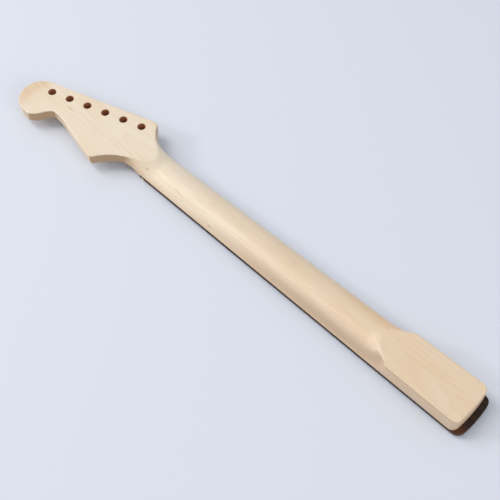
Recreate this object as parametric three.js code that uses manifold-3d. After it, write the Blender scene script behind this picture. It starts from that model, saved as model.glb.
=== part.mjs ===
// A bolt-on electric guitar neck in bare maple with a rosewood fingerboard, lying face down.
// Millimetres. X runs from the nut's front face to the heel, Y to the bass side, and Z away from the strings.
// The neck is built with Z = 0 at the glue plane between maple and rosewood, then stood on the origin.
import * as THREE from 'three';
import { mergeVertices } from 'three/addons/utils/BufferGeometryUtils.js';
import Module from 'manifold-3d';

const wasm = await Module();
wasm.setup();

// Scale and taper
const scaleLength = 648;
const fretCount = 22;
const nutWidth = 42.2;
const heelWidth = 56.2;
const lastFretPastHeel = 2.56;
const boardOverhang = 7.4;

// Maple blank
const headThickness = 14.5;
const headStep = 3.7;
const heelThickness = 19.4;
const shaftDepthAtNut = 14.3;
const shaftDepthAtHeel = 17.2;
const shaftRoundness = 1.85;
const headCoveStart = 13.5;
const trebleHeadCoveLength = 45;
const trebleHeadCoveRise = 28;
const bassHeadCoveLength = 50;
const bassHeadCoveRise = 32;
const trebleHeelReach = 125.6;
const trebleHeelCoveLength = 36;
const trebleHeelCoveRise = 19;
const bassHeelReach = 133.6;
const bassHeelCoveLength = 41;
const bassHeelCoveRise = 22;
const heelEndSag = 1.8;
const heelCornerRadius = 8;
const boardCornerRadius = 10;

// Headstock outline
const headLength = 198.8;
const ballRadius = 27.2;
const ballNeckAngle = -85;
const tipDistance = 57.5;
const tipReach = 51.5;
const tipRounding = 4;
const scoopDepth = 22;
const cornerDistance = 36.5;
const cornerRounding = 3;
const tunerPitch = 25.4;
const tunerRowAngle = 17.1;
const tunerHoleDiameter = 10;
const tunerCount = 6;
const firstTunerDistance = 46.3;
const firstTunerReach = 22.3;
const tunerEdgeMargin = 13.7;

// Outline shares: along the distance from nut to tip or corner, and of the flare past the nut's edge
const trebleFlareShares = [[0.348, 0.045], [0.557, 0.125], [0.748, 0.391], [0.887, 0.68]];
const bassFlareShares = [[0.167, 0.03], [0.375, 0.1], [0.569, 0.235], [0.786, 0.545]];
// Outline shares: along the straight way from the tip to the ball, and of the scoop's depth inside that way
const scoopShares = [
  [0.119, 0.163], [0.373, 0.534], [0.566, 0.844], [0.666, 0.96], [0.737, 0.998], [0.778, 0.944],
  [0.809, 0.788], [0.836, 0.585], [0.868, 0.322], [0.909, 0.106], [0.95, -0.011],
];
// Sections of the shaft: along each cove from its far end, and along the plain length between them
const coveEndShare = 0.99;
const coveShares = [
  coveEndShare, 0.94, 0.88, 0.82, 0.76, 0.7, 0.63, 0.56, 0.49, 0.42, 0.34, 0.26, 0.17, 0.08, 0,
];
const plainShares = [0.14, 0.28, 0.42, 0.56, 0.7, 0.84];

// Step behind the nut
const stepRadius = 14;
const stepFoot = 19;

// Fingerboard
const boardThickness = 6;
const boardRadius = 241;
const boardFacet = 6.8;
const leastFacetShare = 0.1;

// Frets
const fretWidth = 2.4;
const fretHeight = 1.1;
const fretSeatGap = 0.03;
const tangThickness = 0.5;
const tangDepth = 1.7;
const fretSlotClearance = 0.05;
const fretSlotFloorGap = 0.3;
const fretEndInset = 0.1;
const crownShoulderShare = 0.72;

// String nut
const nutThickness = 3.4;
const nutSlotDepth = 3;
const nutStand = 1.7;
const nutClearance = 0.05;
const stringCount = 6;
const stringSpan = 35;
const thinGroove = 0.4;
const thickGroove = 1.3;
const grooveFloorOverFrets = 0.3;
const nutRearHeightShare = 0.6;
const nutTopDepthShare = 0.5;

// Position dots
const singleDotFrets = [3, 5, 7, 9, 15, 17, 19, 21];
const doubleDotFret = 12;
const dotDiameter = 6.35;
const dotThickness = 1.4;
const doubleDotReach = 9.5;
const dotClearance = 0.05;
const sideDotDiameter = 2;
const sideDotLength = 2.5;
const sideDotPairGap = 7;
const sideDotDrop = 2.2;

// Truss rod
const rodDiameter = 4.76;
const rodHoleClearance = 0.13;
const barWidth = 6;
const barThickness = 3;
const blockWall = 0.49;
const blockHeight = 7;
const blockLength = 14;
const channelSideClearance = 0.2;
const channelFloorClearance = 0.15;
const headBlockStart = 3;
const heelBlockInset = 23.6;
const adjusterDiameter = 9;
const adjusterLength = 12;
const adjusterGap = 4;
const socketAcrossFlats = 5;
const socketDepth = 7;
const pocketMargin = 1;
const pocketReach = 30;

// How far cutters run past what they cut
const overrun = 5;

// Smoothness of round forms, as counts
const holeSides = 24;
const dotSides = 16;
const rodSides = 16;
const socketSides = 6;
const shaftSides = 22;
const curveSteps = 14;
const ballSteps = 26;
const cornerSteps = 3;
const stepSteps = 8;
const endSteps = 5;

const maple = new THREE.MeshStandardMaterial({ color: 0xead9bd, roughness: 0.55, metalness: 0 });
const rosewood = new THREE.MeshStandardMaterial({ color: 0x33201a, roughness: 0.6, metalness: 0 });
const nickelSilver = new THREE.MeshStandardMaterial({ color: 0xc9c7bf, roughness: 0.28, metalness: 1 });
const bone = new THREE.MeshStandardMaterial({ color: 0xe9e2cf, roughness: 0.45, metalness: 0 });
const pearl = new THREE.MeshStandardMaterial({ color: 0xe6e4dc, roughness: 0.25, metalness: 0 });
const steel = new THREE.MeshStandardMaterial({ color: 0x8d9094, roughness: 0.35, metalness: 1 });
const brass = new THREE.MeshStandardMaterial({ color: 0xb7964f, roughness: 0.35, metalness: 1 });

const neck = new THREE.Group();

// Turns a closed three.js geometry into a solid that can be joined and cut.
function toSolid(geometry) {
  const bare = geometry.clone();
  bare.deleteAttribute('normal');
  bare.deleteAttribute('uv');
  const merged = mergeVertices(bare);
  const vertProperties = new Float32Array(merged.attributes.position.array);
  const triVerts = new Uint32Array(merged.index.array);
  return new wasm.Manifold(new wasm.Mesh({ numProp: 3, vertProperties, triVerts }));
}

// Adds a solid to the neck as a named mesh.
function addPiece(name, solid, material) {
  const { vertProperties, triVerts } = solid.getMesh();
  const geometry = new THREE.BufferGeometry();
  geometry.setAttribute('position', new THREE.BufferAttribute(vertProperties, 3));
  geometry.setIndex(new THREE.BufferAttribute(triVerts, 1));
  const flat = geometry.toNonIndexed();
  flat.computeVertexNormals();
  const mesh = new THREE.Mesh(flat, material);
  mesh.name = name;
  neck.add(mesh);
}

// A box between two corners.
function boxSolid(low, high) {
  const size = high.map((value, axis) => value - low[axis]);
  const geometry = new THREE.BoxGeometry(...size);
  geometry.translate(...low.map((value, axis) => value + size[axis] / 2));
  return toSolid(geometry);
}

// An outline in X and Y, raised from one height to another.
function plateSolid(points, bottom, top) {
  const settings = { depth: top - bottom, bevelEnabled: false };
  const geometry = new THREE.ExtrudeGeometry(new THREE.Shape(points), settings);
  geometry.translate(0, 0, bottom);
  return toSolid(geometry);
}

// A round bar along Z, between two heights.
function postSolid(x, y, radius, bottom, top, sides) {
  const geometry = new THREE.CylinderGeometry(radius, radius, top - bottom, sides);
  geometry.rotateX(Math.PI / 2);
  geometry.translate(x, y, (bottom + top) / 2);
  return toSolid(geometry);
}

// A round or six-sided bar along X, centred on the truss rod's axis.
function barSolid(start, end, radius, sides) {
  const geometry = new THREE.CylinderGeometry(radius, radius, end - start, sides);
  geometry.rotateZ(Math.PI / 2);
  geometry.translate((start + end) / 2, 0, rodAxisHeight);
  return toSolid(geometry);
}

// A flat ring seen from ahead along X or Y.
function flattened(ring) {
  const alongX = ring.every((point) => point.x === ring[0].x);
  return ring.map((point) => new THREE.Vector2(alongX ? point.y : -point.x, point.z));
}

// A closed skin through rings that all hold the same number of points, with flat ends.
function loftSolid(given) {
  const outward = THREE.ShapeUtils.area(flattened(given[0])) > 0;
  const rings = outward ? given : given.map((ring) => [...ring].reverse());
  const count = rings[0].length;
  const positions = rings.flat().flatMap((point) => [point.x, point.y, point.z]);
  const index = [];
  for (let ring = 0; ring + 1 < rings.length; ring += 1) {
    for (let side = 0; side < count; side += 1) {
      const a = ring * count + side;
      const b = ring * count + (side + 1) % count;
      index.push(a, b, b + count, a, b + count, a + count);
    }
  }
  const last = (rings.length - 1) * count;
  for (const [a, b, c] of ringTriangles(rings[0])) index.push(a, c, b);
  for (const [a, b, c] of ringTriangles(rings[rings.length - 1])) index.push(last + a, last + b, last + c);
  const vertProperties = new Float32Array(positions);
  const triVerts = new Uint32Array(index);
  return new wasm.Manifold(new wasm.Mesh({ numProp: 3, vertProperties, triVerts }));
}

// Triangles that fill a flat ring, turned the way the ring turns.
function ringTriangles(ring) {
  const flat = flattened(ring);
  return THREE.ShapeUtils.triangulateShape(flat, []).map(([a, b, c]) => {
    const positive = THREE.ShapeUtils.area([flat[a], flat[b], flat[c]]) > 0;
    return positive ? [a, b, c] : [a, c, b];
  });
}

// Distance of a fret from the nut.
function fretAt(number) {
  return scaleLength * (1 - 2 ** (-number / 12));
}

const heelEnd = fretAt(fretCount) - lastFretPastHeel;

// Half the neck's width at a distance from the nut.
function halfWidthAt(x) {
  return nutWidth / 2 + (heelWidth - nutWidth) / 2 * x / heelEnd;
}

// Rounds the corner of a polyline at one of its points, in place of the points nearer to it than the size.
function roundCorner(points, corner, size) {
  const far = (point) => point.distanceTo(corner) > size;
  const at = points.indexOf(corner);
  const last = at + points.slice(at).findIndex(far);
  const first = points.slice(0, at).findLastIndex(far);
  const before = corner.clone().add(points[first].clone().sub(corner).setLength(size));
  const after = corner.clone().add(points[last].clone().sub(corner).setLength(size));
  const bend = new THREE.QuadraticBezierCurve(before, corner, after);
  points.splice(first + 1, last - first - 1, ...bend.getPoints(cornerSteps));
}

// The tuner row and the straight edge beside it
const rowAngle = THREE.MathUtils.degToRad(tunerRowAngle);
const rowDirection = new THREE.Vector2(Math.cos(rowAngle), Math.sin(rowAngle));
const rowOutward = new THREE.Vector2(-rowDirection.y, rowDirection.x);
const firstTuner = new THREE.Vector2(-firstTunerDistance, firstTunerReach);
const tuners = [];
for (let number = 0; number < tunerCount; number += 1) {
  tuners.push(firstTuner.clone().addScaledVector(rowDirection, -number * tunerPitch));
}
const edgePoint = firstTuner.clone().addScaledVector(rowOutward, tunerEdgeMargin);

// Point of the tuner edge at a distance from the nut.
function tunerEdgeAt(x) {
  return new THREE.Vector2(x, edgePoint.y + (x - edgePoint.x) * Math.tan(rowAngle));
}

// Curve from the nut's edge out to the tip or the corner.
function flarePoints(side, goal, shares) {
  const start = new THREE.Vector2(0, side * halfWidthAt(0));
  const between = shares.map(([along, out]) => new THREE.Vector2(
    goal.x * along,
    start.y + (goal.y - start.y) * out,
  ));
  return new THREE.SplineCurve([start, ...between, goal]).getPoints(curveSteps);
}

const tip = new THREE.Vector2(-tipDistance, -tipReach);
const corner = tunerEdgeAt(-cornerDistance);
const trebleFlare = flarePoints(-1, tip, trebleFlareShares);
const bassFlare = flarePoints(1, corner, bassFlareShares);

// The ball touches the tuner edge and reaches the end of the head
const ballX = ballRadius - headLength;
const ballCentre = new THREE.Vector2(ballX, tunerEdgeAt(ballX).y - ballRadius / Math.cos(rowAngle));
// Half width past every side of the neck, for cutters that run right across it
const cutReach = Math.max(tipReach, corner.y, heelWidth / 2, ballRadius - ballCentre.y) + overrun;
const ballStart = THREE.MathUtils.degToRad(ballNeckAngle);
const ballEnd = rowAngle + Math.PI / 2 - Math.PI * 2;
const ball = new THREE.EllipseCurve(...ballCentre, ballRadius, ballRadius, ballStart, ballEnd, true);
const ballPoints = ball.getPoints(ballSteps);
const scoop = scoopShares.map(([along, inside]) => new THREE.Vector2(
  THREE.MathUtils.lerp(tip.x, ballPoints[0].x, along),
  THREE.MathUtils.lerp(tip.y, ballPoints[0].y, along) + scoopDepth * inside,
));
const scoopPoints = new THREE.SplineCurve([tip, ...scoop, ballPoints[0]]).getPoints(curveSteps * 2);

// Headstock plate, up to where the shaft's longer cove has run out
const headCoveReach = Math.max(trebleHeadCoveLength, bassHeadCoveLength);
const headJoin = headCoveStart - coveEndShare * headCoveReach;
const headFront = headStep;
const headBack = headStep + headThickness;
const trebleEdge = [...trebleFlare.slice(0, -1), tip, ...scoopPoints.slice(1, -1)];
const bassEdge = [...bassFlare.slice(0, -1), corner, ballPoints[ballSteps]];
roundCorner(trebleEdge, tip, tipRounding);
roundCorner(bassEdge, corner, cornerRounding);
const headOutline = [...trebleEdge, ...ballPoints.slice(0, -1), ...[...bassEdge].reverse()];
const headPlate = plateSolid(headOutline, 0, headBack).subtract(boxSolid(
  [headJoin, -cutReach, -overrun],
  [overrun, cutReach, headBack + overrun],
));

// Width of one side of the shaft, which follows the head's edge beside the headstock.
function reachAt(x, edge) {
  if (x >= 0) return halfWidthAt(x);
  const at = edge.findIndex((point) => point.x <= x);
  const [near, far] = [edge[at - 1], edge[at]];
  const share = (x - near.x) / (far.x - near.x);
  return Math.abs(THREE.MathUtils.lerp(near.y, far.y, share));
}

// How much a cove deepens the shaft at a distance along it, which grows very steep at its end.
function coveDepth(distance, length, rise) {
  const share = THREE.MathUtils.clamp(distance / length, 0, coveEndShare);
  return rise * share ** 1.5 / (1 - share ** 6);
}

// Where the heel's coves start
const trebleHeelCoveStart = heelEnd - trebleHeelReach;
const bassHeelCoveStart = heelEnd - bassHeelReach;

// Depth over the glue plane that the two sides of the shaft's back have at a distance from the nut.
function sideDepthsAt(x) {
  const plain = THREE.MathUtils.lerp(shaftDepthAtNut, shaftDepthAtHeel, x / heelEnd);
  const trebleHead = coveDepth(headCoveStart - x, trebleHeadCoveLength, trebleHeadCoveRise);
  const trebleHeel = coveDepth(x - trebleHeelCoveStart, trebleHeelCoveLength, trebleHeelCoveRise);
  const bassHead = coveDepth(headCoveStart - x, bassHeadCoveLength, bassHeadCoveRise);
  const bassHeel = coveDepth(x - bassHeelCoveStart, bassHeelCoveLength, bassHeelCoveRise);
  return [plain + trebleHead + trebleHeel, plain + bassHead + bassHeel];
}

// Shaft: rings of a C section along X, run into the head and the heel
const heelCoveStart = Math.min(trebleHeelCoveStart, bassHeelCoveStart);
const heelCoveEnd = Math.max(
  trebleHeelCoveStart + trebleHeelCoveLength,
  bassHeelCoveStart + bassHeelCoveLength,
);
const shaftStations = [
  ...coveShares.map((share) => headCoveStart - share * headCoveReach),
  ...plainShares.map((share) => THREE.MathUtils.lerp(headCoveStart, heelCoveStart, share)),
  ...coveShares.map((share) => THREE.MathUtils.lerp(heelCoveStart, heelCoveEnd, share)).reverse(),
];

// One ring of the shaft, whose size is read at one place and which stands at another.
// Its depth changes smoothly from the treble side's to the bass side's.
function shaftRing(x, place) {
  const depths = sideDepthsAt(x);
  const ring = [];
  for (let side = 0; side <= shaftSides; side += 1) {
    const angle = Math.PI * side / shaftSides;
    const depth = THREE.MathUtils.lerp(...depths, THREE.MathUtils.smoothstep(Math.cos(angle), -1, 1));
    const across = Math.sign(Math.cos(angle)) * Math.abs(Math.cos(angle)) ** (2 / shaftRoundness);
    const reach = reachAt(x, across > 0 ? bassEdge : trebleEdge);
    const height = side === shaftSides ? 0 : depth * Math.sin(angle) ** (2 / shaftRoundness);
    ring.push(new THREE.Vector3(place, across * reach, height));
  }
  return ring;
}

const shaftRings = shaftStations.map((x) => shaftRing(x, x));
const intoHeel = shaftRing(shaftStations[shaftStations.length - 1], heelCoveEnd + overrun);
const highest = Math.max(...shaftRings.flat().map((point) => point.z)) + overrun;
const middle = (headCoveStart + heelCoveStart) / 2;
const shaft = loftSolid([...shaftRings, intoHeel])
  .subtract(boxSolid([-headLength, -cutReach, headBack], [middle, cutReach, highest]))
  .subtract(boxSolid([middle, -cutReach, heelThickness], [heelEnd, cutReach, highest]));

// Plan outline of the straight-sided part: maple heel or fingerboard, with a bowed and rounded end.
function taperedOutline(start, end, sag, cornerRadius) {
  const shoulder = end - sag - cornerRadius;
  const shape = new THREE.Shape();
  shape.moveTo(start, -halfWidthAt(start));
  shape.lineTo(shoulder, -halfWidthAt(shoulder));
  shape.quadraticCurveTo(end - sag, -halfWidthAt(end), end - sag / 2, -halfWidthAt(end) + cornerRadius);
  shape.quadraticCurveTo(end + sag / 2, 0, end - sag / 2, halfWidthAt(end) - cornerRadius);
  shape.quadraticCurveTo(end - sag, halfWidthAt(end), shoulder, halfWidthAt(shoulder));
  shape.lineTo(start, halfWidthAt(start));
  return shape.getPoints(endSteps);
}

const heel = plateSolid(taperedOutline(heelCoveEnd, heelEnd, heelEndSag, heelCornerRadius), 0, heelThickness);

// Cutter for the curved step that drops from the fingerboard to the head's front face
const stepCentreHeight = headFront - stepRadius;
const stepCurve = [];
for (let step = 0; step <= stepSteps; step += 1) {
  const angle = Math.PI / 2 * (1 - step / stepSteps);
  stepCurve.push(new THREE.Vector2(
    stepRadius * Math.cos(angle) - stepFoot,
    stepCentreHeight + stepRadius * Math.sin(angle),
  ));
}
const behindHead = -headLength - overrun;
const stepProfile = [
  new THREE.Vector2(behindHead, stepCentreHeight),
  new THREE.Vector2(behindHead, headFront),
];
const stepPlate = new THREE.ExtrudeGeometry(
  new THREE.Shape([...stepProfile, ...stepCurve]),
  { depth: cutReach * 2, bevelEnabled: false },
);
stepPlate.rotateX(Math.PI / 2);
stepPlate.translate(0, cutReach, 0);
const stepCutter = toSolid(stepPlate);

// Truss rod places
const heelBlockEnd = heelEnd - heelBlockInset;
const blockWidth = rodDiameter + 2 * (rodHoleClearance + blockWall);
const channelWidth = Math.max(barWidth, blockWidth) + 2 * channelSideClearance;
const barTop = channelFloorClearance;
const blockTop = barTop + barThickness;
const rodAxisHeight = blockTop + blockHeight / 2;
const channelDepth = blockTop + blockHeight + channelFloorClearance;
const adjusterEnd = headBlockStart - adjusterGap;
const adjusterStart = adjusterEnd - adjusterLength;
const pocketRadius = adjusterDiameter / 2 + pocketMargin;
const pocketDepth = rodAxisHeight + pocketRadius;
const pocketCentre = pocketRadius - pocketReach;

const channel = boxSolid(
  [adjusterEnd, -channelWidth / 2, -overrun],
  [heelBlockEnd + channelSideClearance, channelWidth / 2, channelDepth],
);
const pocket = boxSolid(
  [pocketCentre, -pocketRadius, -overrun],
  [adjusterEnd + pocketMargin, pocketRadius, pocketDepth],
).add(postSolid(pocketCentre, 0, pocketRadius, -overrun, pocketDepth, holeSides));

let blank = headPlate.add(shaft).add(heel).subtract(stepCutter).subtract(channel).subtract(pocket);
const tunerRadius = tunerHoleDiameter / 2;
for (const tuner of tuners) {
  const drill = postSolid(tuner.x, tuner.y, tunerRadius, headFront - overrun, headBack + overrun, holeSides);
  blank = blank.subtract(drill);
}
addPiece('maple_neck_blank', blank, maple);

// Height of the fingerboard's face over its edge plane: a circle of the board's radius in flat facets.
function boardFaceAt(y) {
  const drop = (reach) => boardRadius - Math.sqrt(boardRadius ** 2 - reach ** 2);
  const reach = Math.abs(y);
  const inner = Math.max(0, Math.floor(reach / boardFacet - 0.5) + 0.5) * boardFacet;
  if (reach <= boardFacet / 2) return drop(boardFacet / 2) - boardThickness;
  const outer = inner + boardFacet;
  const share = (reach - inner) / boardFacet;
  return THREE.MathUtils.lerp(drop(inner), drop(outer), share) - boardThickness;
}

// Places across the board where its face changes slope, out to a given half width.
function facetPlaces(halfWidth) {
  const places = [];
  const leastFacet = leastFacetShare * boardFacet;
  for (let place = boardFacet / 2; place < halfWidth - leastFacet; place += boardFacet) places.push(place);
  places.push(halfWidth);
  return [...places.map((place) => -place).reverse(), ...places];
}

// A bar across the board with one section in X and height, which follows the face.
function crossBar(x, halfWidth, section) {
  const rings = facetPlaces(halfWidth).map((y) => section.map(([along, height]) => (
    new THREE.Vector3(x + along, y, boardFaceAt(y) + height)
  )));
  return loftSolid(rings);
}

// The space between the board's curved face and the glue plane, wider and longer than the board
const boardEnd = heelEnd + boardOverhang;
const cutHalfWidth = heelWidth / 2 + overrun;
const underFace = loftSolid(facetPlaces(cutHalfWidth).map((y) => [
  new THREE.Vector3(behindHead, y, 0),
  new THREE.Vector3(behindHead, y, boardFaceAt(y)),
  new THREE.Vector3(boardEnd + overrun, y, boardFaceAt(y)),
  new THREE.Vector3(boardEnd + overrun, y, 0),
]));

const boardOutline = taperedOutline(-stepFoot, boardEnd, heelEndSag, boardCornerRadius);
const boardPlate = plateSolid(boardOutline, -boardThickness - overrun, 0);
const boardBody = boardPlate.intersect(underFace).subtract(stepCutter);

// Fret slots
let board = boardBody;
const slotHalf = tangThickness / 2 + fretSlotClearance;
const fretSlotDepth = tangDepth + fretSlotFloorGap;
const slotSection = [
  [-slotHalf, -overrun],
  [slotHalf, -overrun],
  [slotHalf, fretSlotDepth],
  [-slotHalf, fretSlotDepth],
];
for (let number = 1; number <= fretCount; number += 1) {
  board = board.subtract(crossBar(fretAt(number), cutHalfWidth, slotSection));
}

// Nut slot, with the nut's front face at X = 0
const nutFloor = nutSlotDepth - boardThickness;
board = board.subtract(boxSolid(
  [-nutThickness - nutClearance, -cutHalfWidth, -boardThickness - overrun],
  [nutClearance, cutHalfWidth, nutFloor],
));

// Dots: places on the face, and along the bass edge
const dotPlaces = singleDotFrets.map((fret) => ({ fret, offsets: [0] }));
dotPlaces.push({ fret: doubleDotFret, offsets: [-1, 1] });
const dotFloor = dotThickness + dotClearance - boardThickness;
const dotRadius = dotDiameter / 2;
const sideDotRadius = sideDotDiameter / 2;

// A round bar along Y that ends at the board's bass edge.
function sideBar(x, radius, length) {
  const edge = halfWidthAt(x);
  const geometry = new THREE.CylinderGeometry(radius, radius, length + overrun, dotSides);
  geometry.translate(x, edge - length / 2 + overrun / 2, -sideDotDrop);
  return toSolid(geometry);
}

for (const { fret, offsets } of dotPlaces) {
  const x = (fretAt(fret - 1) + fretAt(fret)) / 2;
  for (const offset of offsets) {
    const y = offset * doubleDotReach;
    const label = String(fret).padStart(2, '0') + (offset < 0 ? '_treble' : offset > 0 ? '_bass' : '');
    const bore = postSolid(x, y, dotRadius + dotClearance, -boardThickness - overrun, dotFloor, dotSides);
    const disc = postSolid(x, y, dotRadius, -boardThickness - overrun, dotFloor - dotClearance, dotSides);
    board = board.subtract(bore);
    addPiece(`face_dot_${label}`, disc.intersect(underFace), pearl);

    const sideX = x + offset * sideDotPairGap / 2;
    const sideLabel = String(fret).padStart(2, '0') + (offset < 0 ? '_a' : offset > 0 ? '_b' : '');
    board = board.subtract(sideBar(sideX, sideDotRadius + dotClearance, sideDotLength + dotClearance));
    const sideDot = sideBar(sideX, sideDotRadius, sideDotLength).intersect(boardPlate);
    addPiece(`side_dot_${sideLabel}`, sideDot, pearl);
  }
}
addPiece('rosewood_fingerboard', board, rosewood);

// Half the board's width at a distance from the nut, drawn in where its end corners are round.
function boardHalfAt(x) {
  const at = boardOutline.findIndex((point) => point.x > x);
  const [near, far] = [boardOutline[at - 1], boardOutline[at]];
  return -THREE.MathUtils.mapLinear(x, near.x, far.x, near.y, far.y);
}

// Frets: a domed crown over a thin tang, one bar each
const crownHalf = fretWidth / 2;
const crownShoulder = crownHalf * crownShoulderShare;
const shoulderHeight = fretHeight * crownShoulderShare;
const tangHalf = tangThickness / 2;
const crownSection = [
  [-crownHalf, -fretSeatGap], [-crownShoulder, -shoulderHeight], [0, -fretHeight],
  [crownShoulder, -shoulderHeight], [crownHalf, -fretSeatGap],
  [tangHalf, -fretSeatGap], [tangHalf, tangDepth], [-tangHalf, tangDepth], [-tangHalf, -fretSeatGap],
];
for (let number = 1; number <= fretCount; number += 1) {
  const x = fretAt(number);
  const fret = crossBar(x, boardHalfAt(x + crownHalf) - fretEndInset, crownSection);
  addPiece(`fret_${String(number).padStart(2, '0')}`, fret, nickelSilver);
}

// String nut: a bone bar in its slot, with a groove for each string
const nutHalf = halfWidthAt(0) - fretEndInset;
const nutRings = facetPlaces(nutHalf).map((y) => [
  new THREE.Vector3(-nutThickness, y, nutFloor),
  new THREE.Vector3(-nutThickness, y, boardFaceAt(y) - nutStand * nutRearHeightShare),
  new THREE.Vector3(-nutThickness * nutTopDepthShare, y, boardFaceAt(y) - nutStand),
  new THREE.Vector3(0, y, boardFaceAt(y) - nutStand),
  new THREE.Vector3(0, y, nutFloor),
]);
let nut = loftSolid(nutRings);
for (let string = 0; string < stringCount; string += 1) {
  const share = string / (stringCount - 1);
  const y = (share - 0.5) * stringSpan;
  const half = THREE.MathUtils.lerp(thinGroove, thickGroove, share) / 2;
  const floor = boardFaceAt(y) - fretHeight - grooveFloorOverFrets;
  nut = nut.subtract(boxSolid(
    [-nutThickness - overrun, y - half, -boardThickness - nutStand - overrun],
    [overrun, y + half, floor],
  ));
}
addPiece('string_nut', nut, bone);

// Truss rod: a flat bar, two blocks and a threaded rod that an adjuster turns from the head
addPiece('truss_rod_flat_bar', boxSolid(
  [headBlockStart, -barWidth / 2, barTop],
  [heelBlockEnd, barWidth / 2, barTop + barThickness],
), steel);
const rodHole = barSolid(adjusterStart, heelBlockEnd + overrun, rodDiameter / 2 + rodHoleClearance, rodSides);
for (const [name, start] of [['head', headBlockStart], ['heel', heelBlockEnd - blockLength]]) {
  const block = boxSolid(
    [start, -blockWidth / 2, blockTop],
    [start + blockLength, blockWidth / 2, blockTop + blockHeight],
  );
  addPiece(`truss_rod_${name}_block`, block.subtract(rodHole), brass);
}
addPiece('truss_rod_threaded_rod', barSolid(adjusterEnd, heelBlockEnd, rodDiameter / 2, rodSides), steel);
const socket = barSolid(
  adjusterStart - overrun,
  adjusterStart + socketDepth,
  socketAcrossFlats / 2 / Math.cos(Math.PI / socketSides),
  socketSides,
);
const adjusterBody = barSolid(adjusterStart, adjusterEnd, adjusterDiameter / 2, holeSides);
addPiece('truss_rod_adjuster', adjusterBody.subtract(socket), steel);

// The finished neck stands on the origin, centred in plan
neck.updateMatrixWorld(true);
const bounds = new THREE.Box3().setFromObject(neck);
const centre = bounds.getCenter(new THREE.Vector3());
neck.position.set(-centre.x, -centre.y, -bounds.min.z);

export default neck;
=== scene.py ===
"""A bolt-on electric guitar neck in bare maple with a rosewood fingerboard, lying face down on a pale table.

Metres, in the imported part's frame: X runs from the head to the heel, Y to the bass side, Z out of the back.
"""
import math

import bpy
import numpy as np
from mathutils import Matrix, Vector
from mathutils.geometry import delaunay_2d_cdt


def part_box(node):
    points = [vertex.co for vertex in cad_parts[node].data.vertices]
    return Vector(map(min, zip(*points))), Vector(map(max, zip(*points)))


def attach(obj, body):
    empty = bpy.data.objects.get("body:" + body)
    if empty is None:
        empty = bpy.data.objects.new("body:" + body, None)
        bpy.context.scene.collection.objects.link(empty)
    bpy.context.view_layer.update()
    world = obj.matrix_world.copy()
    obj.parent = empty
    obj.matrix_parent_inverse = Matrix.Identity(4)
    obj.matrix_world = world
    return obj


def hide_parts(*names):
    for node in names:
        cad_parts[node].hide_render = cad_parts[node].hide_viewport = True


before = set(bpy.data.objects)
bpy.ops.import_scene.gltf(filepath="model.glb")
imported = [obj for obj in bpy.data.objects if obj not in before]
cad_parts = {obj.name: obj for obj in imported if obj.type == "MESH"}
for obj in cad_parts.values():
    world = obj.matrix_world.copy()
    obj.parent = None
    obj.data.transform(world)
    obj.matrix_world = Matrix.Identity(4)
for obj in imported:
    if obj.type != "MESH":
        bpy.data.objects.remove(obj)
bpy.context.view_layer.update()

# Camera
# A plain lens about a metre from the neck, looking down over the heel's treble corner, as the
# neck was photographed. The angles and the distance were fitted to the edges that the photograph shows.
camera_target = Vector((0.0230, 0.0043, 0))
camera_azimuth = math.radians(44.031)
camera_elevation = math.radians(57.184)
camera_roll = math.radians(-0.76)
camera_distance = 1.1139
lens_length = 70.5

camera_data = bpy.data.cameras.new("camera")
camera_data.sensor_width = 36
camera_data.lens = lens_length
camera_data.clip_start = 0.05
camera = bpy.data.objects.new("camera", camera_data)
bpy.context.scene.collection.objects.link(camera)
camera_back = Vector((
    math.sin(camera_azimuth) * math.cos(camera_elevation),
    -math.cos(camera_azimuth) * math.cos(camera_elevation),
    math.sin(camera_elevation),
))
level_right = Vector((math.cos(camera_azimuth), math.sin(camera_azimuth), 0))
level_up = camera_back.cross(level_right)
camera_right = level_right * math.cos(camera_roll) + level_up * math.sin(camera_roll)
camera_up = camera_back.cross(camera_right)
camera.matrix_world = (
    Matrix.Translation(camera_target + camera_back * camera_distance)
    @ Matrix((camera_right, camera_up, camera_back)).transposed().to_4x4()
)
bpy.context.scene.camera = camera


# Table and light
# A pale matt table top in an even pale room, with four soft lamps: a broad, a high and a low one beyond
# the head's end, all on the near side, and a fill on the heel's side.
table_half = 2.0
table_tone = (0.74, 0.775, 0.86, 1)
table_roughness = 0.9
table_gloss = 0.2
room_tone = (0.96, 0.98, 1, 1)
room_strength = 0.52


def add_mesh_object(name, points, faces, material):
    """An object at the origin from an array of points and lists of corner numbers."""
    mesh = bpy.data.meshes.new(name)
    mesh.from_pydata(np.asarray(points).tolist(), [], faces)
    mesh.materials.append(material)
    made = bpy.data.objects.new(name, mesh)
    bpy.context.scene.collection.objects.link(made)
    return made


def plain_material(name, tone, roughness, metallic=0.0):
    """A new node material with a plain Principled shader, and that shader."""
    material = bpy.data.materials.new(name)
    material.use_nodes = True
    shader = material.node_tree.nodes["Principled BSDF"]
    shader.inputs["Base Color"].default_value = tone
    shader.inputs["Roughness"].default_value = roughness
    shader.inputs["Metallic"].default_value = metallic
    return material, shader


table_material, table_shader = plain_material("table_top", table_tone, table_roughness)
table_shader.inputs["Specular IOR Level"].default_value = table_gloss
table_corners = [(-1, -1, 0), (1, -1, 0), (1, 1, 0), (-1, 1, 0)]
table = add_mesh_object("table", np.array(table_corners) * table_half, [(0, 1, 2, 3)], table_material)


def add_lamp(name, place, aim, size, power, tone):
    """A square lamp of one size at a place, turned to shine at its aim."""
    lamp_data = bpy.data.lights.new(name, "AREA")
    lamp_data.shape = "SQUARE"
    lamp_data.size = size
    lamp_data.energy = power
    lamp_data.color = tone
    lamp = bpy.data.objects.new(name, lamp_data)
    lamp.location = place
    lamp.rotation_euler = (Vector(aim) - Vector(place)).to_track_quat("-Z", "Y").to_euler()
    bpy.context.scene.collection.objects.link(lamp)


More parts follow.
